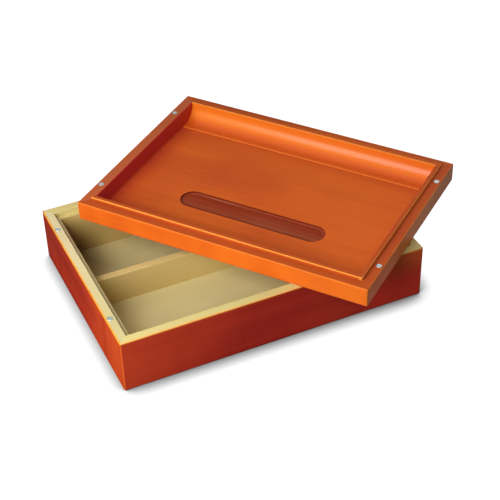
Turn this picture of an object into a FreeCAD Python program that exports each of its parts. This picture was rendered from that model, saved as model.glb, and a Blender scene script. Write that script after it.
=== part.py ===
"""Shallow mitred wooden box with a loose tray lid, in millimetres.

The base stands on Z = 0 with its centre on the Z axis, its length along X and its front towards -Y.
The lid lies tray side up across the open base, turned about Z, as it does when the box is in use.
"""
import FreeCAD, Part
import math
import os

import Sketcher
from FreeCAD import Placement, Rotation, Vector

# Driving dimensions: alias, millimetres or degrees, what it measures
DIMENSIONS = (
    ("box_length", 220.0, "outside length of the base and of the lid"),
    ("box_width", 157.8, "outside width of the base and of the lid"),
    ("base_height", 40.2, "underside of the base to its rim"),
    ("lid_height", 14.1, "underside of the lid to the flat band round its lip"),
    ("wall_thickness", 10.1, "thickness of every wall and rail"),
    ("rim_width", 6.6, "flat rim outside the rebate in the base"),
    ("rebate_depth", 4.0, "depth of that rebate, which takes the lip of the closed lid"),
    ("lip_height", 2.3, "height of the lid's lip above the band"),
    ("lip_clearance", 0.3, "play between lip and rebate on each side"),
    ("panel_thickness", 3.0, "thickness of the bottom panel and the lid panel"),
    ("panel_housing", 5.0, "width of the rebate that a panel lies in"),
    ("panel_gap", 0.2, "gap round the edge of a panel"),
    ("corner_radius", 1.2, "rounding of the upright corners"),
    ("lip_corner_radius", 1.0, "rounding of the lip's corners, in plan"),
    ("arris_radius", 0.8, "rounding of the long outer edges"),
    ("fine_arris_radius", 0.4, "rounding of the lip, the divider and the rim's inner edge"),
    ("divider_thickness", 5.6, "thickness of the divider"),
    ("divider_top", 26.0, "height of the divider's top edge"),
    ("divider_front", 2.9, "divider's front face, behind the middle of the base"),
    ("divider_housing", 2.0, "depth of the slots that hold the divider's ends"),
    ("magnet_diameter", 4.0, "diameter of a magnet"),
    ("magnet_length", 3.0, "length of a magnet"),
    ("magnet_chamfer", 0.25, "chamfer round a magnet's exposed face"),
    ("magnet_gap", 0.1, "glue gap round a magnet"),
    ("magnet_inset", 3.3, "magnet axis in from the outer face"),
    ("magnet_spacing", 105.3, "distance between the two magnets on one side"),
    ("cove_radius", 11.0, "radius of the cove"),
    ("cove_width", 16.5, "width of the cove strip on the tray floor"),
    ("cove_foot", 0.5, "thickness of the cove strip's front edge"),
    ("cove_edge", 0.8, "thickness of the cove strip's top edge"),
    ("pocket_length", 111.5, "length of the pocket over its round ends"),
    ("pocket_width", 18.0, "width of the pocket"),
    ("pocket_depth", 1.8, "depth of the pocket below the tray floor"),
    ("pocket_floor_radius", 0.8, "rounding at the foot of the pocket's wall"),
    ("pocket_offset", 27.2, "pocket's middle line, in front of the middle of the lid"),
    ("lid_turn", -52.2, "turn of the lid about Z, in degrees"),
    ("lid_shift_x", 40.5, "middle of the lid along X"),
    ("lid_shift_y", 19.4, "middle of the lid along Y"),
)

# How far a cutting outline runs past the face that it opens
CUT_MARGIN = 1.0
TOLERANCE = 1e-4
ORIGIN = (-1, 1)
X_AXIS = -1
Y_AXIS = -2
START, END, CENTRE = 1, 2, 3
UP = Vector(0, 0, 1)

doc = FreeCAD.newDocument("TrayLidBox")
sheet = doc.addObject("Spreadsheet::Sheet", "Dims")
for row, (alias, size, meaning) in enumerate(DIMENSIONS, 1):
    sheet.set(f"A{row}", meaning)
    sheet.set(f"B{row}", str(size))
    sheet.setAlias(f"B{row}", alias)
doc.recompute()

nodes = {}


def value(expression):
    """Number that an expression of sheet cells gives."""
    return float(sheet.evalExpression(expression))


def new_body(label):
    """Empty body for one sub-part."""
    body = doc.addObject("PartDesign::Body", label)
    body.Label = label
    nodes[label] = body
    return body


def new_sketch(body, name, plane, height=None):
    """Sketch on one of the body's own origin planes, raised by an expression if one is given."""
    sketch = body.newObject("Sketcher::SketchObject", name)
    support = next(item for item in body.Origin.OriginFeatures if item.Role == plane)
    sketch.AttachmentSupport = (support, [""])
    sketch.MapMode = "FlatFace"
    if height is not None:
        sketch.setExpression("AttachmentOffset.Base.z", height)
    return sketch


def drive(sketch, kind, *where, by):
    """Add a dimension to a sketch and bind it to an expression of sheet cells."""
    number = sketch.addConstraint(Sketcher.Constraint(kind, *where, value(by)))
    sketch.setExpression(f"Constraints[{number}]", by)


def hold(sketch, kind, *where):
    """Add a geometric constraint to a sketch."""
    sketch.addConstraint(Sketcher.Constraint(kind, *where))


def draw_rectangle(sketch, left, bottom, width, height):
    """Rectangle whose low corner and sides are expressions."""
    x, y, dx, dy = (value(item) for item in (left, bottom, width, height))
    corners = [Vector(x, y, 0), Vector(x + dx, y, 0), Vector(x + dx, y + dy, 0), Vector(x, y + dy, 0)]
    sides = [sketch.addGeometry(Part.LineSegment(corners[i], corners[(i + 1) % 4])) for i in range(4)]
    for i, side in enumerate(sides):
        hold(sketch, "Coincident", side, END, sides[(i + 1) % 4], START)
        hold(sketch, "Vertical" if i % 2 else "Horizontal", side)
    drive(sketch, "DistanceX", *ORIGIN, sides[0], START, by=left)
    drive(sketch, "DistanceY", *ORIGIN, sides[0], START, by=bottom)
    drive(sketch, "DistanceX", sides[0], START, sides[0], END, by=width)
    drive(sketch, "DistanceY", sides[1], START, sides[1], END, by=height)


def draw_mitred_outline(sketch, length, near, far, radius):
    """Plan of a stick mitred at both ends, with its outer corners rounded.

    The stick runs along X. Its outer face is at Y = near and its inner face at Y = far.
    """
    half = value(length) / 2
    y_near, y_far, r = value(near), value(far), value(radius)
    x_near, x_far = half - y_near - r, half - y_far
    y_centre = y_near + r
    bite = r * math.sqrt(0.5)
    tip = Vector(x_near + bite, y_centre - bite, 0)
    left_tip = Vector(-tip.x, tip.y, 0)
    inner, left_inner = Vector(x_far, y_far, 0), Vector(-x_far, y_far, 0)
    outer, left_outer = Vector(x_near, y_near, 0), Vector(-x_near, y_near, 0)
    right_circle = Part.Circle(Vector(x_near, y_centre, 0), UP, r)
    left_circle = Part.Circle(Vector(-x_near, y_centre, 0), UP, r)

    face = sketch.addGeometry(Part.LineSegment(left_outer, outer))
    right_arc = sketch.addGeometry(Part.ArcOfCircle(right_circle, math.radians(270), math.radians(315)))
    right_mitre = sketch.addGeometry(Part.LineSegment(tip, inner))
    back = sketch.addGeometry(Part.LineSegment(inner, left_inner))
    left_mitre = sketch.addGeometry(Part.LineSegment(left_inner, left_tip))
    left_arc = sketch.addGeometry(Part.ArcOfCircle(left_circle, math.radians(225), math.radians(270)))

    hold(sketch, "Tangent", face, END, right_arc, START)
    hold(sketch, "Perpendicular", right_arc, END, right_mitre, START)
    hold(sketch, "Coincident", right_mitre, END, back, START)
    hold(sketch, "Coincident", back, END, left_mitre, START)
    hold(sketch, "Perpendicular", left_mitre, END, left_arc, START)
    hold(sketch, "Tangent", left_arc, END, face, START)
    hold(sketch, "Symmetric", face, START, face, END, Y_AXIS)
    hold(sketch, "Symmetric", back, START, back, END, Y_AXIS)
    hold(sketch, "Equal", right_arc, left_arc)
    if y_near > TOLERANCE:
        drive(sketch, "DistanceY", *ORIGIN, face, START, by=near)
    else:
        hold(sketch, "PointOnObject", face, START, X_AXIS)
    drive(sketch, "DistanceY", *ORIGIN, back, START, by=far)
    drive(sketch, "DistanceX", back, END, back, START, by=f"{length} - 2 * ({far})")
    drive(sketch, "Radius", right_arc, by=radius)
    sketch.addConstraint(Sketcher.Constraint("Angle", right_mitre, math.radians(135)))


def draw_round_ended_slot(sketch, length, width, middle):
    """Slot along X with full-radius ends, its middle line at Y = middle."""
    r = value(width) / 2
    x, y = value(length) / 2 - r, value(middle)
    right_circle = Part.Circle(Vector(x, y, 0), UP, r)
    left_circle = Part.Circle(Vector(-x, y, 0), UP, r)
    right_end = sketch.addGeometry(Part.ArcOfCircle(right_circle, -math.pi / 2, math.pi / 2))
    back = sketch.addGeometry(Part.LineSegment(Vector(x, y + r, 0), Vector(-x, y + r, 0)))
    left_end = sketch.addGeometry(Part.ArcOfCircle(left_circle, math.pi / 2, 3 * math.pi / 2))
    front = sketch.addGeometry(Part.LineSegment(Vector(-x, y - r, 0), Vector(x, y - r, 0)))
    loop = (right_end, back, left_end, front)
    for i, item in enumerate(loop):
        hold(sketch, "Tangent", item, END, loop[(i + 1) % 4], START)
    hold(sketch, "Symmetric", right_end, CENTRE, left_end, CENTRE, Y_AXIS)
    drive(sketch, "Radius", right_end, by=f"{width} / 2")
    drive(sketch, "DistanceX", left_end, CENTRE, right_end, CENTRE, by=f"{length} - {width}")
    drive(sketch, "DistanceY", *ORIGIN, right_end, CENTRE, by=middle)


def draw_circle(sketch, x, y, radius):
    """Circle whose centre and radius are expressions."""
    centre = Vector(value(x), value(y), 0)
    circle = sketch.addGeometry(Part.Circle(centre, UP, value(radius)))
    drive(sketch, "DistanceX", *ORIGIN, circle, CENTRE, by=x)
    drive(sketch, "DistanceY", *ORIGIN, circle, CENTRE, by=y)
    drive(sketch, "Radius", circle, by=radius)


def pad(body, sketch, name, length, both_ways=False):
    """Raise a sketch into a solid."""
    feature = body.newObject("PartDesign::Pad", name)
    feature.Profile = sketch
    feature.Midplane = both_ways
    feature.setExpression("Length", length)
    doc.recompute()
    return feature


def pocket(body, sketch, name, depth=None, reverse=False):
    """Cut a sketch out of a solid, right through both ways if no depth is given."""
    before = body.Shape.Volume
    feature = body.newObject("PartDesign::Pocket", name)
    feature.Profile = sketch
    feature.Reversed = reverse
    if depth is None:
        feature.Midplane = True
        feature.Type = "ThroughAll"
    else:
        feature.setExpression("Length", depth)
    doc.recompute()
    if body.Shape.Volume > before - TOLERANCE:
        raise RuntimeError(f"{body.Label}: {name} cuts nothing")
    return feature


def level_edges(body, level, low_y, high_y):
    """Names of the last feature's level edges at one height that lie wholly between two values of Y."""
    names = []
    for number, edge in enumerate(body.Tip.Shape.Edges, 1):
        box = edge.BoundBox
        is_level = abs(box.ZMin - level) < TOLERANCE and abs(box.ZMax - level) < TOLERANCE
        if is_level and box.YMin > low_y - TOLERANCE and box.YMax < high_y + TOLERANCE:
            names.append(f"Edge{number}")
    return names


def soften(body, kind, name, edges, size):
    """Fillet or chamfer some edges of the body's last feature."""
    base = body.Tip
    feature = body.newObject(f"PartDesign::{kind}", name)
    feature.Base = (base, edges)
    feature.setExpression("Radius" if kind == "Fillet" else "Size", size)
    doc.recompute()
    return feature


def long_edges(body, level, face, radius):
    """Level edges that run along an outer face and round its corners."""
    return level_edges(body, level, value(face), value(face) + value(radius))


def straight_edge(body, level, face):
    """Level edge that runs straight along a face."""
    return level_edges(body, level, value(face), value(face))


def cut_panel_housing(body):
    """Rebate along the inside of a stick's lower edge for a panel."""
    section = new_sketch(body, "PanelHousingSection", "YZ_Plane")
    draw_rectangle(
        section,
        "Dims.wall_thickness - Dims.panel_housing",
        f"-{CUT_MARGIN}",
        f"Dims.panel_housing + {CUT_MARGIN}",
        f"Dims.panel_thickness + {CUT_MARGIN}",
    )
    pocket(body, section, "PanelHousing")


def cut_magnet_holes(body, top):
    """Two blind holes, drilled down from the flat edge of a side wall or rail."""
    holes = new_sketch(body, "MagnetHoleCentres", "XY_Plane", top)
    radius = "Dims.magnet_diameter / 2 + Dims.magnet_gap"
    for sign in ("-", ""):
        draw_circle(holes, f"{sign}Dims.magnet_spacing / 2", "Dims.magnet_inset", radius)
    pocket(body, holes, "MagnetHoles", "Dims.magnet_length")


def make_base_wall(label, length, placement):
    """Mitred wall with a rebate for the lid's lip above and one for the bottom panel below."""
    body = new_body(label)
    plan = new_sketch(body, "Plan", "XY_Plane")
    draw_mitred_outline(plan, length, "0", "Dims.wall_thickness", "Dims.corner_radius")
    pad(body, plan, "Stick", "Dims.base_height")
    section = new_sketch(body, "LipRebateSection", "YZ_Plane")
    draw_rectangle(
        section,
        "Dims.rim_width",
        "Dims.base_height - Dims.rebate_depth",
        f"Dims.wall_thickness - Dims.rim_width + {CUT_MARGIN}",
        f"Dims.rebate_depth + {CUT_MARGIN}",
    )
    pocket(body, section, "LipRebate")
    cut_panel_housing(body)
    outer = long_edges(body, 0, "0", "Dims.corner_radius")
    outer += long_edges(body, value("Dims.base_height"), "0", "Dims.corner_radius")
    soften(body, "Fillet", "OuterArrises", outer, "Dims.arris_radius")
    rim = straight_edge(body, value("Dims.base_height"), "Dims.rim_width")
    ledge = straight_edge(body, value("Dims.base_height - Dims.rebate_depth"), "Dims.wall_thickness")
    soften(body, "Fillet", "RimArrises", rim + ledge, "Dims.fine_arris_radius")
    body.Placement = placement
    return body


def cut_divider_housing(body, along):
    """Stopped slot in a side wall's inner face for one end of the divider."""
    sketch = new_sketch(body, "DividerHousingPlan", "XY_Plane", "Dims.panel_thickness")
    draw_rectangle(
        sketch,
        along,
        "Dims.wall_thickness - Dims.divider_housing",
        "Dims.divider_thickness",
        f"Dims.divider_housing + {CUT_MARGIN}",
    )
    pocket(body, sketch, "DividerHousing", "Dims.divider_top - Dims.panel_thickness", reverse=True)


def make_lid_rail(label, length, placement):
    """Mitred rail with a flat outer band, a raised lip and a rebate for the lid panel."""
    body = new_body(label)
    plan = new_sketch(body, "Plan", "XY_Plane")
    draw_mitred_outline(plan, length, "0", "Dims.wall_thickness", "Dims.corner_radius")
    pad(body, plan, "Stick", "Dims.lid_height")
    lip_face = "Dims.rim_width + Dims.lip_clearance"
    lip_plan = new_sketch(body, "LipPlan", "XY_Plane", "Dims.lid_height")
    draw_mitred_outline(lip_plan, length, lip_face, "Dims.wall_thickness", "Dims.lip_corner_radius")
    pad(body, lip_plan, "Lip", "Dims.lip_height")
    cut_panel_housing(body)
    outer = long_edges(body, 0, "0", "Dims.corner_radius")
    outer += long_edges(body, value("Dims.lid_height"), "0", "Dims.corner_radius")
    soften(body, "Fillet", "OuterArrises", outer, "Dims.arris_radius")
    lip_top = value("Dims.lid_height + Dims.lip_height")
    lip = long_edges(body, lip_top, lip_face, "Dims.lip_corner_radius")
    lip += straight_edge(body, lip_top, "Dims.wall_thickness")
    soften(body, "Fillet", "LipArrises", lip, "Dims.fine_arris_radius")
    body.Placement = placement
    return body


def make_panel(label, placement):
    """Thin panel that lies in the rebate under four walls or rails."""
    body = new_body(label)
    plan = new_sketch(body, "Plan", "XY_Plane")
    setback = "(Dims.wall_thickness - Dims.panel_housing + Dims.panel_gap)"
    draw_rectangle(
        plan,
        f"{setback} - Dims.box_length / 2",
        f"{setback} - Dims.box_width / 2",
        f"Dims.box_length - 2 * {setback}",
        f"Dims.box_width - 2 * {setback}",
    )
    pad(body, plan, "Sheet", "Dims.panel_thickness")
    body.Placement = placement
    return body


def cut_pocket(body):
    """Blind round-ended pocket in the lid panel's upper face."""
    plan = new_sketch(body, "PocketPlan", "XY_Plane", "Dims.panel_thickness")
    draw_round_ended_slot(plan, "Dims.pocket_length", "Dims.pocket_width", "-Dims.pocket_offset")
    pocket(body, plan, "TrayPocket", "Dims.pocket_depth")
    floor = value("Dims.panel_thickness - Dims.pocket_depth")
    half = value("Dims.pocket_width") / 2
    middle = -value("Dims.pocket_offset")
    foot = level_edges(body, floor, middle - half, middle + half)
    soften(body, "Fillet", "PocketFoot", foot, "Dims.pocket_floor_radius")


def make_divider(label, placement):
    """Low strip along the base, held at both ends in the side walls."""
    body = new_body(label)
    plan = new_sketch(body, "Plan", "XY_Plane")
    length = "(Dims.box_length - 2 * (Dims.wall_thickness - Dims.divider_housing))"
    draw_rectangle(plan, f"-{length} / 2", "Dims.divider_front", length, "Dims.divider_thickness")
    height = "Dims.divider_top - Dims.panel_thickness"
    pad(body, plan, "Strip", height)
    front, back = "Dims.divider_front", "Dims.divider_front + Dims.divider_thickness"
    top = straight_edge(body, value(height), front) + straight_edge(body, value(height), back)
    soften(body, "Fillet", "TopArrises", top, "Dims.fine_arris_radius")
    body.Placement = placement
    return body


def make_cove(label, placement):
    """Cove moulding whose back and underside meet at the body's X axis."""
    body = new_body(label)
    profile = new_sketch(body, "Profile", "YZ_Plane")
    top = "Dims.lid_height + Dims.lip_height - Dims.panel_thickness"
    width, edge, foot = (value(f"Dims.cove_{part}") for part in ("width", "edge", "foot"))
    height, r = value(top), value("Dims.cove_radius")
    corners = [
        Vector(0, 0, 0),
        Vector(-width, 0, 0),
        Vector(-width, foot, 0),
        Vector(-edge - r, foot, 0),
        Vector(-edge, foot + r, 0),
        Vector(-edge, height, 0),
        Vector(0, height, 0),
    ]
    underside = profile.addGeometry(Part.LineSegment(corners[0], corners[1]))
    toe = profile.addGeometry(Part.LineSegment(corners[1], corners[2]))
    land = profile.addGeometry(Part.LineSegment(corners[2], corners[3]))
    circle = Part.Circle(Vector(-edge - r, foot + r, 0), UP, r)
    hollow = profile.addGeometry(Part.ArcOfCircle(circle, -math.pi / 2, 0))
    upright = profile.addGeometry(Part.LineSegment(corners[4], corners[5]))
    cap = profile.addGeometry(Part.LineSegment(corners[5], corners[6]))
    back = profile.addGeometry(Part.LineSegment(corners[6], corners[0]))
    hold(profile, "Coincident", underside, START, *ORIGIN)
    hold(profile, "Coincident", underside, END, toe, START)
    hold(profile, "Coincident", toe, END, land, START)
    hold(profile, "Tangent", land, END, hollow, START)
    hold(profile, "Tangent", hollow, END, upright, START)
    hold(profile, "Coincident", upright, END, cap, START)
    hold(profile, "Coincident", cap, END, back, START)
    hold(profile, "Coincident", back, END, underside, START)
    for side in (underside, land, cap):
        hold(profile, "Horizontal", side)
    for side in (toe, upright, back):
        hold(profile, "Vertical", side)
    drive(profile, "DistanceX", underside, END, underside, START, by="Dims.cove_width")
    drive(profile, "DistanceY", toe, START, toe, END, by="Dims.cove_foot")
    drive(profile, "Radius", hollow, by="Dims.cove_radius")
    drive(profile, "DistanceX", cap, START, cap, END, by="Dims.cove_edge")
    drive(profile, "DistanceY", back, END, back, START, by=top)
    pad(body, profile, "Moulding", "Dims.box_length - 2 * Dims.wall_thickness", both_ways=True)
    body.Placement = placement
    return body


def make_magnet(label, placement):
    """Disc magnet with its exposed face up, that face's centre at the body's origin."""
    body = new_body(label)
    disc = new_sketch(body, "Disc", "XY_Plane", "-Dims.magnet_length")
    circle = disc.addGeometry(Part.Circle(Vector(0, 0, 0), UP, value("Dims.magnet_diameter") / 2))
    hold(disc, "Coincident", circle, CENTRE, *ORIGIN)
    drive(disc, "Radius", circle, by="Dims.magnet_diameter / 2")
    pad(body, disc, "Slug", "Dims.magnet_length")
    reach = value("Dims.magnet_diameter")
    soften(body, "Chamfer", "FaceChamfer", level_edges(body, 0, -reach, reach), "Dims.magnet_chamfer")
    body.Placement = placement
    return body


def at(x, y, z, turn=0.0):
    """Placement at a point, turned about Z by some degrees."""
    return Placement(Vector(x, y, z), Rotation(UP, turn))


half_length = value("Dims.box_length") / 2
half_width = value("Dims.box_width") / 2
base_height = value("Dims.base_height")
lid_height = value("Dims.lid_height")
panel_thickness = value("Dims.panel_thickness")

# Four sides of a frame: name, length along the side, place of the outer face and turn about Z
SIDES = (
    ("front", "Dims.box_length", at(0, -half_width, 0)),
    ("right", "Dims.box_width", at(half_length, 0, 0, 90)),
    ("back", "Dims.box_length", at(0, half_width, 0, 180)),
    ("left", "Dims.box_width", at(-half_length, 0, 0, 270)),
)

# The divider's lower edge along each side wall, whose own X runs to the back or to the front
DIVIDER_ALONG = {
    "right": "Dims.divider_front",
    "left": "-Dims.divider_front - Dims.divider_thickness",
}

lid_place = at(value("Dims.lid_shift_x"), value("Dims.lid_shift_y"), base_height, value("Dims.lid_turn"))

for side, length, place in SIDES:
    wall = make_base_wall(f"base_{side}_wall", length, place)
    rail = make_lid_rail(f"lid_{side}_rail", length, lid_place.multiply(place))
    if side in DIVIDER_ALONG:
        cut_magnet_holes(wall, "Dims.base_height")
        cut_magnet_holes(rail, "Dims.lid_height")
        cut_divider_housing(wall, DIVIDER_ALONG[side])

make_panel("base_bottom_panel", at(0, 0, 0))
make_divider("base_divider", at(0, 0, panel_thickness))
lid_panel = make_panel("lid_panel", lid_place)
cut_pocket(lid_panel)
cove_back = half_width - value("Dims.wall_thickness")
make_cove("lid_cove", lid_place.multiply(at(0, cove_back, panel_thickness)))

magnet_x = half_length - value("Dims.magnet_inset")
magnet_y = value("Dims.magnet_spacing") / 2
for depth_name, y in (("front", -magnet_y), ("back", magnet_y)):
    for side_name, x in (("left", -magnet_x), ("right", magnet_x)):
        make_magnet(f"base_magnet_{depth_name}_{side_name}", at(x, y, base_height))
        make_magnet(f"lid_magnet_{depth_name}_{side_name}", lid_place.multiply(at(x, y, lid_height)))

doc.recompute()
for item in doc.Objects:
    if any(state in ("Invalid", "Error") for state in item.State):
        raise RuntimeError(f"{item.Label} did not rebuild: {item.State}")
for label, node in nodes.items():
    if node.Shape.isNull() or not node.Shape.isValid() or len(node.Shape.Solids) != 1:
        raise RuntimeError(f"{label} is not one valid solid")

os.makedirs("parts", exist_ok=True)
for label, node in nodes.items():
    node.Shape.exportStep(f"parts/{label}.step")
    print(f"{label}: {node.Shape.Volume:.1f} cubic mm")
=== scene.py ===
import math

import bpy
from bpy.props import FloatProperty, FloatVectorProperty, PointerProperty
from bpy.types import Operator, Panel, PropertyGroup
from mathutils import Matrix, Vector


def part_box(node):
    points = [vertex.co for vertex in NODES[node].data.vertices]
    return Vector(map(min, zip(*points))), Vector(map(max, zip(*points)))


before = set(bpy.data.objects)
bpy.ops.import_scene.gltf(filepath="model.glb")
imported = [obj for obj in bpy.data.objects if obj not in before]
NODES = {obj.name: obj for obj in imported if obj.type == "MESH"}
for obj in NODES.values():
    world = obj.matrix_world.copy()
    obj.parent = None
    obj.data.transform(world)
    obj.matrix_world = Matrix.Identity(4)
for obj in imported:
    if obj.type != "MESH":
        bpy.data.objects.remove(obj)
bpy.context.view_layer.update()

bl_info = {
    "name": "Tray Lid Box",
    "version": (1, 0, 0),
    "blender": (4, 5, 0),
    "location": "View3D > Sidebar > Tray Lid Box",
    "description": "Finishes the stained wooden box and its loose tray lid, and sets its stage",
    "category": "Object",
}

MM = 0.001

# The base's outer size and the levels of its parts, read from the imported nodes
BASE_LOW, BASE_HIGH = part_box("base_left_wall")
HALF_LENGTH = -BASE_LOW.x
HALF_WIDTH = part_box("base_back_wall")[1].y
RIM_LEVEL = BASE_HIGH.z
FLOOR_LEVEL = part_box("base_bottom_panel")[1].z
WALL_THICKNESS = BASE_HIGH.x - BASE_LOW.x
LID_FOOT_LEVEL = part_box("lid_panel")[0].z
TRAY_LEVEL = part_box("lid_panel")[1].z
COVE_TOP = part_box("lid_cove")[1].z
# Sizes of the lid that the boxes of its nodes don't give
LIP_INSET = 6.9 * MM
COVE_WIDTH = 16.5 * MM
COVE_FRONT = HALF_WIDTH - WALL_THICKNESS - COVE_WIDTH
POCKET_OFFSET = 27.2 * MM
POCKET_HALF_LENGTH = 55.75 * MM
POCKET_HALF_WIDTH = 9 * MM


def magnet_centre(name):
    """Middle of a magnet's exposed face."""
    low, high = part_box(name)
    return Vector(((low.x + high.x) / 2, (low.y + high.y) / 2, high.z))


# The lid's own frame, from its four magnets
LID_CORNERS = {
    (depth, side): magnet_centre(f"lid_magnet_{depth}_{side}")
    for depth in ("front", "back")
    for side in ("left", "right")
}
LID_CENTRE = sum(LID_CORNERS.values(), Vector()) / len(LID_CORNERS)
BAND_LEVEL = LID_CENTRE.z
LID_ACROSS = LID_CORNERS["front", "right"] - LID_CORNERS["front", "left"]
LID_TURN = math.atan2(LID_ACROSS.y, LID_ACROSS.x)

RIGHT_ANGLE = math.pi / 2
# How much lighter or deeper each stick of the lid took the stain
LID_TONES = {
    "lid_front_rail": 0.84,
    "lid_cove": 1.25,
    "lid_panel": 1.15,
    "lid_left_rail": 0.88,
    "lid_back_rail": 0.95,
    "lid_right_rail": 0.86,
}
# The walls that face the eye took a deeper line along their arrises. The left wall also has a browner
# stain, which soaked further into its rim, and a paler rim towards the back
PLAIN = Vector((1.0, 1.0, 1.0))
WALL_TONES = {"base_left_wall": Vector((0.85, 0.87, 0.42))}
ARRIS_TONES = {
    "base_left_wall": Vector((0.62, 0.48, 0.12)),
    "base_front_wall": Vector((0.66, 0.50, 0.50)),
}
SOAKED_TONES = {"base_left_wall": Vector((0.85, 0.88, 0.25))}
RIM_TONES = {"base_left_wall": (Vector((0.92, 0.93, 1.12)), Vector((1.09, 1.11, 1.55)))}
BASE_WALLS = ("base_front_wall", "base_back_wall", "base_left_wall", "base_right_wall")

# Strengths of figure, streak, blotch and fibre in each wood
LID_PATTERN = (0.9, 0.85, 1.0, 0.35)
LID_FRONT_PATTERN = (0.7, 0.8, 0.9, 0.3)
POCKET_PATTERN = (0.6, 1.8, 2.6, 0.6)
WALL_PATTERN = (1.4, 1.2, 1.2, 0.4)
RAW_PATTERN = (0.7, 0.5, 0.6, 0.4)
PORE_DEPTH = 0.18
FIBRE_RELIEF = 0.1 * MM
PLATING_RELIEF = 0.03 * MM

# Lacquer on the lid's sticks and, thicker, on the cove
LACQUER = 0.06
COVE_LACQUER = 0.45
LACQUER_ROUGHNESS = 0.26

# Soft lamps: azimuth and elevation in degrees as seen from the box, then distance and size in metres
LAMPS = {
    "key_lamp": (-62, 34, 0.55, 0.4),
    "top_lamp": (0, 88, 1.2, 1.2),
    "back_lamp": (112, 25, 1.0, 0.7),
}
SENSOR_WIDTH = 36.0
STUDIO_FLOOR_SIZE = 6.0
STUDIO_FLOOR_TINT = Vector((0.9, 1.0, 1.03))
# The shadow round the base's foot: its reach, its lean to one side and where it begins to fade
SHADOW_REACH = 18 * MM
SHADOW_LEAN = Vector((-0.16, 0.08, 1.0)).normalized()
SHADOW_CORE = 0.33
BLACK = (0.0, 0.0, 0.0)
WHITE = (1.0, 1.0, 1.0)


def colour(name, description, default):
    """Colour property."""
    return FloatVectorProperty(
        name=name, description=description, default=default, size=3, min=0.0, max=1.0, subtype="COLOR"
    )


def angle(name, description, degrees):
    """Angle property."""
    return FloatProperty(
        name=name, description=description, default=math.radians(degrees), subtype="ANGLE"
    )


def amount(name, description, default, unit="NONE"):
    """Number property."""
    return FloatProperty(name=name, description=description, default=default, unit=unit)


class TrayBoxFinish(PropertyGroup):
    """Colours of the woods and the magnets."""

    lid_stain: colour("Lid stain", "Orange stain on the lid", (0.62, 0.12, 0.016))
    lid_stain_deep: colour("Lid stain in grain", "Stain in the lid's grain", (0.45, 0.07, 0.011))
    front_stain: colour("Lid front stain", "Bright stain on the lid's front face", (0.75, 0.15, 0.012))
    # Grain of the front face, and painted shade near the top of the cove
    front_grain_and_cove_shade: colour("Lid front grain", "Stain in the front face's grain", (0.58, 0.085, 0.009))
    cove_stain: colour("Cove stain", "Brighter stain on the cove", (0.83, 0.22, 0.012))
    # Painted shade at the cove's foot, and a redder tone towards its right end
    cove_foot_shade_and_stain: colour("Cove foot stain", "Redder stain at the cove's foot", (0.68, 0.085, 0.012))
    # Stain rubbed thin on the lid's arrises, and painted highlights on the lip and the cove's arris and
    # toe, and painted light on the right lip's outer face
    lid_wear_and_highlight: colour("Lid edge", "Stain rubbed thin along the lid's edges", (0.93, 0.33, 0.045))
    # Painted shade on the left rail's inner face, at the tray's left end and in front of the cove; also
    # a redder stain in random blotches and darker along the rails' bottom edge
    lid_shade_stain: colour("Lid shade", "Redder stain in the tray's left end", (0.45, 0.03, 0.023))
    lid_left_stain: colour("Lid left stain", "Duller stain on the lid's left rail", (0.50, 0.125, 0.05))
    # Painted shade on the right end face, duller and greyer than the lid stain
    lid_end_shade: colour("Lid end face", "Duller stain on the right end face", (0.72, 0.22, 0.06))
    pocket_stain: colour("Pocket stain", "Stain on the routed pocket's floor", (0.33, 0.07, 0.028))
    pocket_stain_deep: colour("Pocket grain", "Stain in the pocket floor's grain", (0.28, 0.032, 0.008))
    # Painted shade round the pocket's edge and across its front
    pocket_edge_shade: colour("Pocket edge", "Stain gathered round the pocket's edge", (0.12, 0.014, 0.006))
    # Painted highlight along the foot of the pocket's far side
    pocket_highlight: colour("Pocket gleam", "Lacquer pooled at the pocket's foot", (0.48, 0.19, 0.13))
    base_stain: colour("Base stain", "Red stain outside the base", (0.50, 0.034, 0.020))
    base_stain_deep: colour("Base stain in grain", "Stain in the base's grain", (0.30, 0.017, 0.011))
    # Painted light near one end of each wall, and thin stain in random patches
    base_stain_thin_and_lit: colour("Thin base stain", "Where the stain went on thin", (0.57, 0.064, 0.018))
    # Painted light, streaked, high up at the far end of the front and back walls
    base_stain_lit: colour("Rubbed base stain", "Where hands rubbed the stain", (0.72, 0.15, 0.03))
    stain_edge: colour("Stain edge", "Where the stain thins out at the rim", (0.88, 0.34, 0.05))
    raw_wood: colour("Raw wood", "Sanded bare wood", (0.69, 0.58, 0.24))
    raw_wood_dark: colour("Raw wood grain", "Late wood in the bare wood", (0.58, 0.47, 0.175))
    inside_wood: colour("Inside wood", "Browner bare wood inside the walls", (0.62, 0.44, 0.15))
    # Painted shade that darkens the bare wood in the base's back corners
    corner_shade_colour: colour("Corner grime", "Dust and handling in the back corners", (0.17, 0.08, 0.02))
    floor_wood: colour("Floor wood", "Paler bare wood of the bottom panel", (0.68, 0.60, 0.29))
    floor_wood_dark: colour("Floor wood grain", "Late wood in the bottom panel", (0.58, 0.49, 0.22))
    divider_wood: colour("Divider wood", "Browner bare wood of the divider", (0.70, 0.53, 0.20))
    nickel: colour("Nickel", "Plating of the magnets", (0.40, 0.49, 0.50))


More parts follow.
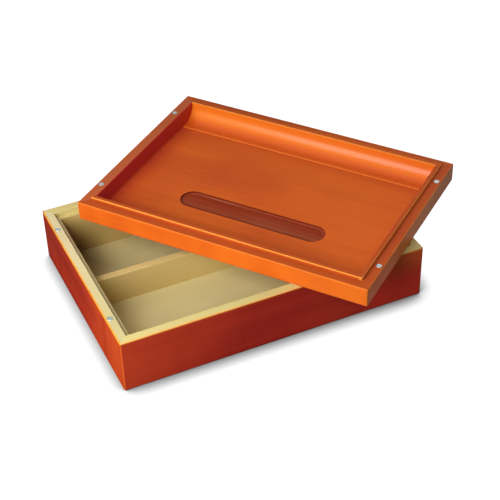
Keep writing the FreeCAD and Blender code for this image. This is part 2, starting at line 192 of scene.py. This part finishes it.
class TrayBoxStage(PropertyGroup):
    """Camera, lamps and floor."""

    azimuth: angle("Azimuth", "Camera's turn from the front", -24.15)
    elevation: angle("Elevation", "Camera's height angle", 38.17)
    roll: angle("Roll", "Camera's turn about its own axis", -1.47)
    distance: amount("Distance", "Camera to the origin, along its view", 0.9186, "LENGTH")
    pan_right: amount("Pan right", "Origin's place right of the view's middle", -0.0143, "LENGTH")
    pan_up: amount("Pan up", "Origin's place above the view's middle", -0.01682, "LENGTH")
    focal_length: amount("Focal length", "Lens on a 36 mm sensor, in millimetres", 92.53)
    key_power: amount("Key power", "Soft lamp from the left", 4.0, "POWER")
    top_power: amount("Top power", "Soft lamp overhead", 1.0, "POWER")
    back_power: amount("Back power", "Soft lamp from behind", 3.0, "POWER")
    sky: amount("Sky", "Strength of the even light all round", 0.17)
    floor_tone: amount("Floor tone", "Paleness of the floor", 0.18)
    floor_glow: amount("Floor glow", "White that the eye sees in the floor", 1.0)


class Wire:
    """A shader socket that takes part in Python arithmetic."""

    def __init__(self, tree, socket):
        self.tree = tree
        self.socket = socket

    def node(self, kind, settings=None, inputs=None, output=0):
        """Add a node to this tree, set it up, feed its sockets and give one of its outputs."""
        made = self.tree.nodes.new(kind)
        for name, setting in (settings or {}).items():
            setattr(made, name, setting)
        for key, feed in (inputs or {}).items():
            if isinstance(feed, Wire):
                self.tree.links.new(feed.socket, made.inputs[key])
            else:
                made.inputs[key].default_value = feed
        return Wire(self.tree, made.outputs[output])

    def maths(self, operation, *feeds):
        """Math node on these values."""
        return self.node("ShaderNodeMath", {"operation": operation}, dict(enumerate(feeds)))

    def __add__(self, other):
        return self.maths("ADD", self, other)

    def __radd__(self, other):
        return self.maths("ADD", other, self)

    def __sub__(self, other):
        return self.maths("SUBTRACT", self, other)

    def __rsub__(self, other):
        return self.maths("SUBTRACT", other, self)

    def __mul__(self, other):
        return self.maths("MULTIPLY", self, other)

    def __rmul__(self, other):
        return self.maths("MULTIPLY", other, self)

    def __abs__(self):
        return self.maths("ABSOLUTE", self)

    def highest(self, other):
        """The greater of two values."""
        return self.maths("MAXIMUM", self, other)

    def lowest(self, other):
        """The lesser of two values."""
        return self.maths("MINIMUM", self, other)

    def ease(self, low, high):
        """Smooth rise from 0 at low to 1 at high."""
        return self.node(
            "ShaderNodeMapRange",
            {"interpolation_type": "SMOOTHSTEP"},
            {"Value": self, "From Min": low, "From Max": high},
        )

    def blend(self, first, second, kind="MIX"):
        """Colour that goes from first to second as this value goes from 0 to 1."""
        return self.node(
            "ShaderNodeMix",
            {"data_type": "RGBA", "blend_type": kind},
            {0: self, 6: paint(first), 7: paint(second)},
            output=2,
        )

    def root(self):
        """Square root."""
        return self.maths("SQRT", self)

    def parts(self):
        """X, Y and Z of a vector."""
        split = self.node("ShaderNodeSeparateXYZ", inputs={0: self}).socket.node
        return [Wire(self.tree, socket) for socket in split.outputs]


def paint(tint):
    """Colour with its alpha, or the wire that carries one."""
    if isinstance(tint, Wire):
        return tint
    return (*tuple(tint)[:3], 1.0)


def new_material(name):
    """Empty material, its shader node and a wire to build on."""
    material = bpy.data.materials.new(name)
    material.use_nodes = True
    tree = material.node_tree
    shader = next(node for node in tree.nodes if node.type == "BSDF_PRINCIPLED")
    return material, shader, Wire(tree, shader.outputs[0])


def feed(wire, shader, **feeds):
    """Link or set the shader's sockets, named with underscores for spaces."""
    for key, value in feeds.items():
        socket = shader.inputs[key.replace("_", " ")]
        if isinstance(value, Wire):
            wire.tree.links.new(value.socket, socket)
        else:
            socket.default_value = value


def own_place(wire, centre=Vector(), turn=0.0):
    """Coordinates in a piece's own frame, with its grain along X."""
    coordinates = wire.node("ShaderNodeTexCoord", output=3)
    return wire.node(
        "ShaderNodeMapping",
        {"vector_type": "TEXTURE"},
        {"Vector": coordinates, "Location": centre, "Rotation": (0.0, 0.0, turn)},
    )


def noise(place, stretch, shift, detail=2.0, roughness=0.5, distortion=0.0):
    """Noise stretched by so many features a metre along X, Y and Z."""
    moved = place.node(
        "ShaderNodeMapping",
        {"vector_type": "POINT"},
        {"Vector": place, "Scale": stretch, "Location": shift},
    )
    return place.node(
        "ShaderNodeTexNoise",
        inputs={
            "Vector": moved,
            "Scale": 1.0,
            "Detail": detail,
            "Roughness": roughness,
            "Distortion": distortion,
        },
    )


class Grain:
    """The layers of pattern that every piece of wood shares."""

    def __init__(self, place, shift):
        self.figure = noise(place, (4, 70, 70), shift, detail=2, distortion=0.5)
        self.streak = noise(place, (12, 420, 420), shift, detail=3, roughness=0.6)
        self.fibre = noise(place, (60, 2600, 2600), shift, detail=2)
        self.blotch = noise(place, (14, 20, 20), shift, detail=1)
        self.curl = noise(place, (34, 9, 9), shift, detail=1, distortion=1.0)
        self.pores = noise(place, (110, 2200, 2200), shift, detail=1).ease(0.62, 0.76)

    def tone(self, figure, streak, blotch, fibre):
        """Light and dark of the wood about a half, each layer with its own strength."""
        swing = (self.figure - 0.5) * figure + (self.streak - 0.5) * streak
        return swing + (self.blotch - 0.5) * blotch + (self.fibre - 0.5) * fibre + 0.5

    def height(self):
        """Relief of the fibres and the pores."""
        return self.fibre * 0.35 + self.streak * 0.3 - self.pores * 0.5


def relief(wire, height, strength, depth):
    """Bump of a height pattern."""
    return wire.node(
        "ShaderNodeBump", inputs={"Height": height, "Strength": strength, "Distance": depth}
    )


def shift_for(name):
    """A steady offset of the pattern for each piece, so that no two show the same grain."""
    number = sum(ord(letter) * (place + 1) for place, letter in enumerate(name))
    return Vector((number % 17, number % 23, number % 29)) * 1.7


def wood_colour(grain, light, deep, *strengths):
    """Wood that goes from light to deep with its grain, darkest in its pores."""
    body = grain.tone(*strengths).blend(deep, light)
    return (grain.pores * PORE_DEPTH).blend(body, deep)


def raw(grain, light, deep):
    """Bare sanded wood."""
    return wood_colour(grain, light, deep, *RAW_PATTERN)


def give(name, material):
    """Put a material on every slot of a CAD node."""
    slots = NODES[name].data.materials
    slots.clear()
    slots.append(material)


def grain_turn(name):
    """Side pieces have their grain across the length."""
    return RIGHT_ANGLE if "_left_" in name or "_right_" in name else 0.0


def on_face(depth):
    """1 on an outer face and 0 inside the wood, from the depth below that face."""
    return 1.0 - depth.ease(0.2 * MM, 0.8 * MM)


def from_left(x):
    """0 at the lid's left end, 1 at its right end."""
    return x.ease(-HALF_LENGTH, HALF_LENGTH)


def lid_edges(x, y, z):
    """How far the stain is rubbed off the lid's outer arrises, plus a painted highlight along the lip
    and painted light on the right lip's outer face, from 0 to 1.
    """
    side, end = HALF_WIDTH - abs(y), HALF_LENGTH - abs(x)
    depth = side.lowest(end)
    top = 1.0 - depth.ease(0.3 * MM, 0.9 * MM)
    top = top * z.ease(BAND_LEVEL - 0.9 * MM, BAND_LEVEL - 0.3 * MM)
    corner = 1.0 - side.highest(end).ease(0.4 * MM, 1.0 * MM)
    # Painted highlight along the top of the lip, strongest at the front and the right
    lip_highlight = 1.0 - depth.ease(LIP_INSET + 0.2 * MM, LIP_INSET + 0.6 * MM)
    lip_highlight = lip_highlight * z.ease(BAND_LEVEL + 1.3 * MM, BAND_LEVEL + 1.9 * MM)
    front = 1.0 - y.ease(-HALF_WIDTH + 8 * MM, -HALF_WIDTH + 12 * MM)
    right = x.ease(HALF_LENGTH - 10 * MM, HALF_LENGTH - 8 * MM) * 0.6
    # Painted light on the outer face of the right lip, which lies in shade
    wall = 1.0 - abs(depth - LIP_INSET).ease(0.1 * MM, 0.3 * MM)
    wall = wall * z.ease(BAND_LEVEL + 0.2 * MM, BAND_LEVEL + 0.5 * MM) * right
    lip_highlight = lip_highlight * front.highest(right).highest(0.15)
    return (top * 0.25).highest(corner * 0.3).highest(lip_highlight).highest(wall)


def pocket_reach(x, y):
    """Distance out from the pocket's edge, below 0 inside it."""
    past_straight = (abs(x) - (POCKET_HALF_LENGTH - POCKET_HALF_WIDTH)).highest(0.0)
    across = y + POCKET_OFFSET
    return (past_straight * past_straight + across * across).root() - POCKET_HALF_WIDTH


def pocket_finish(body, grain, x, y, z, finish):
    """Darker stain in the pocket, mottled on its floor, with painted shade round its edge and across
    its front, and a painted highlight along the foot of its far side.
    """
    reach = pocket_reach(x, y)
    across = y + POCKET_OFFSET
    mottle = grain.tone(*POCKET_PATTERN) + across * 45.0 + 0.1
    floor = mottle.blend(finish.pocket_stain, finish.pocket_stain_deep)
    # Painted highlight line along the foot of the pocket's far side
    foot = 1.0 - abs(reach + 0.7 * MM).ease(0.2 * MM, 0.9 * MM)
    far = across.ease(2 * MM, 6 * MM) * grain.blotch.ease(0.42, 0.62) * 0.5
    floor = (foot * far).blend(floor, finish.pocket_highlight)
    # Painted shade across the front of the pocket's floor
    pocket_front_shade = 1.0 - (across + POCKET_HALF_WIDTH).ease(1.8 * MM, 4.0 * MM)
    floor = (pocket_front_shade * 0.7).blend(floor, finish.pocket_edge_shade)
    outside = reach.ease(-0.4 * MM, 0.0) * z.ease(TRAY_LEVEL - 0.6 * MM, TRAY_LEVEL - 0.15 * MM)
    body = outside.blend(floor, body)
    # Painted shade round the pocket's edge
    edge = 1.0 - abs(reach + 0.2 * MM).ease(0.3 * MM, 0.8 * MM)
    edge = edge * z.ease(TRAY_LEVEL - 1.3 * MM, TRAY_LEVEL - 0.8 * MM)
    return (edge * 0.85).blend(body, finish.pocket_edge_shade)


def left_rail_stain(body, grain, x, y, z, finish):
    """Duller stain outside, and inside a redder painted shade, lifted at its foot and towards the back.
    """
    inside = (x + HALF_LENGTH).ease(WALL_THICKNESS - 0.8 * MM, WALL_THICKNESS - 0.2 * MM)
    body = (0.35 + grain.curl * 0.5).blend(body, finish.lid_left_stain)
    # Painted shade on the inner face, which faces away from the light, lifted at its foot and towards
    # the back
    shade_lifted = (1.0 - z.ease(TRAY_LEVEL, TRAY_LEVEL + 4 * MM)) * 0.3
    shade_lifted = shade_lifted.highest(y.ease(20 * MM, 65 * MM) * (0.05 + grain.streak * 0.3))
    return inside.blend(body, shade_lifted.blend(finish.lid_shade_stain, finish.lid_stain))


def front_rail_stain(body, grain, x, y, z, finish):
    """Bright front face with painted light growing towards the right, and a redder top."""
    # from_left adds painted light towards the right end
    glow = grain.tone(*LID_FRONT_PATTERN) + (grain.curl - 0.5) * 0.9 + from_left(x) * 0.6 - 0.15
    bright = glow.blend(finish.front_grain_and_cove_shade, finish.front_stain)
    top = (grain.blotch * 0.3).blend(body, finish.lid_shade_stain)
    return on_face(y + HALF_WIDTH).blend(top, bright)


def right_rail_stain(body, grain, x, y, z, finish):
    """Redder top, and an end face with painted light at its front that turns into painted shade, darker
    and greyer towards the back.
    """
    body = (grain.curl * 0.4).blend(body, finish.lid_shade_stain)
    # Painted light at the front of the end face, fading into painted shade towards the back
    end_light_to_shade = y.ease(-70 * MM, 10 * MM) * (0.7 + grain.streak * 0.4)
    dull = Vector(finish.lid_end_shade) * 0.65
    duller = y.ease(10 * MM, HALF_WIDTH).blend(finish.lid_end_shade, dull)
    return on_face(HALF_LENGTH - x).blend(body, end_light_to_shade.blend(Vector(finish.lid_stain) * 1.2, duller))


def panel_stain(body, grain, x, y, z, finish):
    """Blotched tray floor with painted shade at its left end and a painted shadow along the cove, and
    the pocket's own stain.
    """
    body = ((0.5 - grain.blotch) * 0.8).blend(body, finish.lid_shade_stain)
    # Painted shade near the left rail, and a painted shadow in front of the cove
    left_end_shade = 1.0 - (x + HALF_LENGTH - WALL_THICKNESS).ease(0.0, 18 * MM)
    cove_shadow = y.ease(COVE_FRONT - 14 * MM, COVE_FRONT) * 0.14
    body = (left_end_shade * 0.5).highest(cove_shadow).blend(body, finish.lid_shade_stain)
    upper = z.ease(TRAY_LEVEL - 2.0 * MM, TRAY_LEVEL - 1.9 * MM)
    return upper.blend(body, pocket_finish(body, grain, x, y, z, finish))


def cove_stain(body, grain, x, y, z, finish):
    """Bright hollow with painted shade at its redder foot and near its top, redder towards the right,
    and painted highlight lines on its top arris and its toe.
    """
    body = (0.5 + grain.streak * 0.6).blend(body, finish.cove_stain)
    # Painted shade in the crease at the cove's foot, redder also towards the right
    foot = 1.0 - z.ease(TRAY_LEVEL + 0.4 * MM, TRAY_LEVEL + 5 * MM)
    body = (foot * 0.75).highest(from_left(x) * 0.3).blend(body, finish.cove_foot_shade_and_stain)
    # Painted shade near the top of the hollow
    upper = z.ease(TRAY_LEVEL + 6 * MM, TRAY_LEVEL + 9 * MM)
    body = (upper * 0.25).blend(body, finish.front_grain_and_cove_shade)
    # Painted highlight lines along the top arris and the toe
    arris = z.ease(COVE_TOP - 1.0 * MM, COVE_TOP - 0.3 * MM) * 0.6
    toe = (1.0 - (y - COVE_FRONT).ease(0.4 * MM, 1.5 * MM)) * 0.3
    return arris.highest(toe).blend(body, finish.lid_wear_and_highlight)


# The back rail keeps the plain lid stain
LID_STAINS = {
    "lid_left_rail": left_rail_stain,
    "lid_front_rail": front_rail_stain,
    "lid_right_rail": right_rail_stain,
    "lid_panel": panel_stain,
    "lid_cove": cove_stain,
}


def lid_wood(name, finish):
    """Orange stain and satin lacquer."""
    material, shader, wire = new_material(f"{name}_finish")
    grain = Grain(own_place(wire, LID_CENTRE, LID_TURN + grain_turn(name)), shift_for(name))
    x, y, z = own_place(wire, Vector((LID_CENTRE.x, LID_CENTRE.y, 0.0)), LID_TURN).parts()
    tone = LID_TONES[name]
    light, deep = Vector(finish.lid_stain) * tone, Vector(finish.lid_stain_deep) * tone
    body = wood_colour(grain, light, deep, *LID_PATTERN)
    # Painted light: every lid piece lighter towards the lid's right end
    body = (from_left(x) * 0.3).blend(body, light * 1.25)
    if name in LID_STAINS:
        body = LID_STAINS[name](body, grain, x, y, z, finish)
    if name.endswith("rail"):
        low = 1.0 - z.ease(LID_FOOT_LEVEL + 0.2 * MM, LID_FOOT_LEVEL + 1.0 * MM)
        body = (low * 0.6).blend(body, finish.lid_shade_stain)
        body = lid_edges(x, y, z).blend(body, finish.lid_wear_and_highlight)
    feed(
        wire,
        shader,
        Base_Color=body,
        Roughness=0.46 + grain.streak * 0.16,
        Specular_IOR_Level=0.03,
        Normal=relief(wire, grain.height(), 0.2, FIBRE_RELIEF),
        Coat_Weight=COVE_LACQUER if name == "lid_cove" else LACQUER,
        Coat_Roughness=LACQUER_ROUGHNESS,
    )
    return material


def corner_shade(x, y, z):
    """Painted shade: 1 deep in the base's two back corners, fading out along the walls and up to the
    rim.
    """
    end = HALF_LENGTH - WALL_THICKNESS - abs(x)
    side = HALF_WIDTH - WALL_THICKNESS - abs(y)
    near = 1.0 - end.highest(side).ease(0.0, 38 * MM)
    low = 1.0 - z.ease(FLOOR_LEVEL, RIM_LEVEL)
    return near * low * y.ease(0.0, 40 * MM)


class WallSpot:
    """Place of a point in the base's walls, and its depth below the outer faces and the rim."""

    def __init__(self, wire, grain):
        self.x, self.y, self.z = wire.node("ShaderNodeTexCoord", output=3).parts()
        self.end, self.side = HALF_LENGTH - abs(self.x), HALF_WIDTH - abs(self.y)
        self.ragged = (grain.fibre - 0.5) * 0.5 * MM
        self.below_rim = RIM_LEVEL - self.z + self.ragged
        self.from_face = self.end.lowest(self.side)
        self.depth = self.from_face + self.ragged


def wall_bare(name, grain, spot, finish):
    """Bare rim and inside, with painted shade in the back corners and stain soaked in along the outer
    arris.
    """
    front_rim, back_rim = (
        raw(grain, Vector(finish.raw_wood) * rim, Vector(finish.raw_wood_dark) * rim)
        for rim in RIM_TONES.get(name, (PLAIN, PLAIN))
    )
    bare = spot.y.ease(-60 * MM, 40 * MM).blend(front_rim, back_rim)
    inside = spot.from_face.ease(WALL_THICKNESS - 0.8 * MM, WALL_THICKNESS - 0.3 * MM)
    bare = (inside * spot.y.ease(-30 * MM, 20 * MM) * 0.8).blend(bare, finish.inside_wood)
    # Painted shade in the back corners
    bare = corner_shade(spot.x, spot.y, spot.z).blend(bare, finish.corner_shade_colour)
    soaked = Vector(finish.stain_edge) * SOAKED_TONES.get(name, PLAIN)
    strength = 0.65 if name in SOAKED_TONES else 0.35
    bled = (1.0 - spot.depth.ease(0.5 * MM, 1.7 * MM)) * (strength + grain.fibre * 0.4)
    bare = bled.blend(bare, soaked)
    lapped = 1.0 - (spot.end + spot.side + spot.ragged * 3.0).ease(1.4 * MM, 3.2 * MM)
    return (lapped * spot.y.ease(0.0, 10 * MM)).blend(bare, finish.base_stain_deep)


def wall_stain(name, grain, spot, along, finish):
    """Red stain with painted light at both ends, streaked high up at the far end, thin in random
    patches and worn off along the arrises.
    """
    tone = WALL_TONES.get(name, PLAIN)
    light, deep = Vector(finish.base_stain) * tone, Vector(finish.base_stain_deep) * tone
    stain = wood_colour(grain, light, deep, *WALL_PATTERN)
    turned = grain_turn(name) > 0.0
    from_end = along + (HALF_WIDTH if turned else HALF_LENGTH)
    # Painted light towards one end of each wall, mixed with random patches of thin stain
    lit_end = (1.0 - from_end.ease(0.0, 90 * MM)) * (0.8 if turned else 0.45)
    lit_and_patchy = lit_end + (grain.blotch - 0.5) * 0.7
    stain = lit_and_patchy.blend(stain, Vector(finish.base_stain_thin_and_lit) * tone)
    stain = ((0.5 - grain.curl) * 2.2).blend(stain, deep)
    # Painted light at the far end of the front and back walls, streaked high up where the lid's shadow
    # falls
    lit_far_end = from_end.ease(163 * MM, 192 * MM)
    stain = (lit_far_end * 0.85).blend(stain, Vector(finish.base_stain) * 1.5)
    rubbed = lit_far_end * spot.z.ease(0.4 * RIM_LEVEL, RIM_LEVEL) * (0.3 + grain.streak * 0.9)
    stain = rubbed.blend(stain, finish.base_stain_lit)
    thin = 1.0 - spot.below_rim.ease(0.4 * MM, 1.5 * MM)
    corner = 0.85 - spot.end.highest(spot.side).ease(0.25 * MM, 0.8 * MM)
    return thin.highest(corner).blend(stain, Vector(finish.stain_edge) * ARRIS_TONES.get(name, PLAIN))


def wall_wood(name, finish):
    """Red stain outside, bare wood on the rim and inside."""
    material, shader, wire = new_material(f"{name}_finish")
    place = own_place(wire, turn=grain_turn(name))
    grain = Grain(place, shift_for(name))
    spot = WallSpot(wire, grain)
    outside = 1.0 - spot.depth.ease(0.35 * MM, 0.75 * MM)
    outside = outside * spot.below_rim.ease(0.1 * MM, 0.5 * MM)
    bare = wall_bare(name, grain, spot, finish)
    stain = wall_stain(name, grain, spot, place.parts()[0], finish)
    feed(
        wire,
        shader,
        Base_Color=outside.blend(bare, stain),
        Roughness=0.62 - outside * 0.14 + grain.streak * 0.14,
        Specular_IOR_Level=0.0,
        Normal=relief(wire, grain.height(), 0.25, FIBRE_RELIEF),
        Coat_Weight=outside * 0.04,
        Coat_Roughness=LACQUER_ROUGHNESS,
    )
    return material


def bare_wood(name, light, deep, shade_colour):
    """Sanded wood with no finish, with painted light towards its front left end and painted shade in
    its back corners.
    """
    material, shader, wire = new_material(f"{name}_finish")
    place = own_place(wire)
    grain = Grain(place, shift_for(name))
    x, y, z = place.parts()
    # Painted light: lighter near the left wall at the front, where that wall's shadow falls
    lit_left_end = 1.0 - (x + HALF_LENGTH - WALL_THICKNESS).ease(0.0, 45 * MM)
    lit_left_end = lit_left_end * (1.0 - y.ease(-30 * MM, 0.0))
    wood = lit_left_end.blend(raw(grain, light, deep), Vector(light) * 1.36)
    # Painted shade in the back corners
    corner_shading = corner_shade(x, y, z) * 0.8
    feed(
        wire,
        shader,
        Base_Color=corner_shading.blend(wood, shade_colour),
        Roughness=0.62 + grain.streak * 0.15,
        Specular_IOR_Level=0.15,
        Normal=relief(wire, grain.height(), 0.3, FIBRE_RELIEF),
    )
    return material


def plated_steel(finish):
    """Bright nickel plating with fine rubbing marks."""
    material, shader, wire = new_material("magnet_finish")
    place = own_place(wire)
    rubbing = noise(place, (900, 6000, 900), Vector(), detail=3)
    cloud = noise(place, (700, 700, 700), Vector((3, 5, 7)), detail=2)
    tint = cloud.ease(0.35, 0.7).blend(Vector(finish.nickel) * 0.82, finish.nickel)
    feed(
        wire,
        shader,
        Base_Color=tint,
        Metallic=0.85,
        Roughness=0.26 + rubbing * 0.2,
        Normal=relief(wire, rubbing, 0.15, PLATING_RELIEF),
    )
    return material


class TRAYBOX_OT_base_walls(Operator):
    """Finish the four mitred walls of the base"""

    bl_idname = "traybox.base_walls"
    bl_label = "Base Walls"

    def execute(self, context):
        for name in BASE_WALLS:
            give(name, wall_wood(name, context.scene.traybox_finish))
        return {"FINISHED"}


class TRAYBOX_OT_base_inside(Operator):
    """Finish the bottom panel and the divider"""

    bl_idname = "traybox.base_inside"
    bl_label = "Base Inside"

    def execute(self, context):
        finish = context.scene.traybox_finish
        woods = {
            "base_bottom_panel": (finish.floor_wood, finish.floor_wood_dark),
            "base_divider": (finish.divider_wood, Vector(finish.divider_wood) * 0.8),
        }
        for name, (light, deep) in woods.items():
            give(name, bare_wood(name, light, deep, finish.corner_shade_colour))
        return {"FINISHED"}


class TRAYBOX_OT_lid(Operator):
    """Finish the lid's rails, panel and cove"""

    bl_idname = "traybox.lid"
    bl_label = "Lid"

    def execute(self, context):
        for name in NODES:
            if name.startswith("lid_") and "magnet" not in name:
                give(name, lid_wood(name, context.scene.traybox_finish))
        return {"FINISHED"}


class TRAYBOX_OT_magnets(Operator):
    """Finish the disc magnets in the rim and in the lid's band"""

    bl_idname = "traybox.magnets"
    bl_label = "Magnets"

    def execute(self, context):
        plating = plated_steel(context.scene.traybox_finish)
        for name in NODES:
            if "magnet" in name:
                give(name, plating)
        return {"FINISHED"}


def view_axes(stage):
    """Camera's right, up and back directions."""
    level = Vector((math.sin(stage.azimuth), -math.cos(stage.azimuth), 0.0))
    back = level * math.cos(stage.elevation) + Vector((0.0, 0.0, math.sin(stage.elevation)))
    right = Vector((math.cos(stage.azimuth), math.sin(stage.azimuth), 0.0))
    up = back.cross(right)
    cos_roll, sin_roll = math.cos(stage.roll), math.sin(stage.roll)
    return right * cos_roll + up * sin_roll, up * cos_roll - right * sin_roll, back


def add_camera(context, stage):
    """Camera at the photograph's angle."""
    right, up, back = view_axes(stage)
    bpy.ops.object.camera_add()
    camera = context.object
    camera.name = "view_camera"
    turn = Matrix((right, up, back)).transposed().to_4x4()
    place = back * stage.distance - right * stage.pan_right - up * stage.pan_up
    camera.matrix_world = Matrix.Translation(place) @ turn
    camera.data.sensor_width = SENSOR_WIDTH
    camera.data.lens = stage.focal_length
    context.scene.camera = camera


def add_lamp(context, name, azimuth, elevation, distance, size, power):
    """Soft square lamp that points at the box, placed by its angles as seen from the box."""
    azimuth, elevation = math.radians(azimuth), math.radians(elevation)
    away = Vector((math.sin(azimuth), -math.cos(azimuth), 0.0)) * math.cos(elevation)
    away.z = math.sin(elevation)
    bpy.ops.object.light_add(type="AREA", location=away * distance)
    lamp = context.object
    lamp.name = name
    lamp.rotation_euler = away.to_track_quat("Z", "Y").to_euler()
    lamp.data.size = size
    lamp.data.energy = power


def seen_by_eye(wire):
    """1 on rays from the camera and on mirror and glass rays, else 0."""
    path = wire.node("ShaderNodeLightPath").socket.node
    rays = ("Is Camera Ray", "Is Glossy Ray", "Is Transmission Ray")
    camera, glossy, through = (Wire(wire.tree, path.outputs[name]) for name in rays)
    return camera.highest(glossy).highest(through)


def light_world(context, stage):
    """Even light all round, white to the eye."""
    world = bpy.data.worlds.new("studio_air")
    world.use_nodes = True
    context.scene.world = world
    tree = world.node_tree
    background = next(node for node in tree.nodes if node.type == "BACKGROUND")
    wire = Wire(tree, background.outputs[0])
    air = seen_by_eye(wire).blend((stage.sky, stage.sky, stage.sky), WHITE)
    feed(wire, background, Color=air)


def add_floor(context, stage):
    """Pale floor that keeps the box's shadow."""
    bpy.ops.mesh.primitive_plane_add(size=STUDIO_FLOOR_SIZE)
    floor = context.object
    floor.name = "studio_floor"
    material, shader, wire = new_material("studio_floor_finish")
    leaning = wire.node("ShaderNodeCombineXYZ", inputs=dict(enumerate(SHADOW_LEAN)))
    open_air = wire.node(
        "ShaderNodeAmbientOcclusion",
        {"samples": 16},
        {"Distance": SHADOW_REACH, "Normal": leaning},
        output=1,
    )
    glow = seen_by_eye(wire) * open_air.ease(SHADOW_CORE, 1.0) * stage.floor_glow
    feed(
        wire,
        shader,
        Base_Color=paint(STUDIO_FLOOR_TINT * stage.floor_tone),
        Roughness=0.9,
        Specular_IOR_Level=0.0,
        Emission_Color=glow.blend(BLACK, WHITE),
        Emission_Strength=1.0,
    )
    floor.data.materials.append(material)


class TRAYBOX_OT_stage(Operator):
    """Set up the camera, the lamps and the pale floor"""

    bl_idname = "traybox.stage"
    bl_label = "Stage"

    def execute(self, context):
        stage = context.scene.traybox_stage
        bpy.ops.object.select_all(action="DESELECT")
        add_camera(context, stage)
        powers = (stage.key_power, stage.top_power, stage.back_power)
        for (name, placing), power in zip(LAMPS.items(), powers):
            add_lamp(context, name, *placing, power)
        light_world(context, stage)
        add_floor(context, stage)
        context.scene.view_settings.view_transform = "Standard"
        return {"FINISHED"}


class TRAYBOX_PT_panel(Panel):
    """Steps and settings of the tray lid box"""

    bl_idname = "TRAYBOX_PT_panel"
    bl_label = "Tray Lid Box"
    bl_space_type = "VIEW_3D"
    bl_region_type = "UI"
    bl_category = "Tray Lid Box"

    def draw(self, context):
        layout = self.layout
        for step in STEPS:
            layout.operator(step.bl_idname)
        for group in (context.scene.traybox_finish, context.scene.traybox_stage):
            for name in group.__annotations__:
                layout.prop(group, name)


STEPS = (
    TRAYBOX_OT_base_walls,
    TRAYBOX_OT_base_inside,
    TRAYBOX_OT_lid,
    TRAYBOX_OT_magnets,
    TRAYBOX_OT_stage,
)
CLASSES = (TrayBoxFinish, TrayBoxStage, *STEPS, TRAYBOX_PT_panel)


def register():
    for item in CLASSES:
        bpy.utils.register_class(item)
    bpy.types.Scene.traybox_finish = PointerProperty(type=TrayBoxFinish)
    bpy.types.Scene.traybox_stage = PointerProperty(type=TrayBoxStage)


def unregister():
    del bpy.types.Scene.traybox_stage
    del bpy.types.Scene.traybox_finish
    for item in reversed(CLASSES):
        bpy.utils.unregister_class(item)


def main():
    register()
    bpy.ops.traybox.base_walls()
    bpy.ops.traybox.base_inside()
    bpy.ops.traybox.lid()
    bpy.ops.traybox.magnets()
    bpy.ops.traybox.stage()


if __name__ == "__main__":
    main()
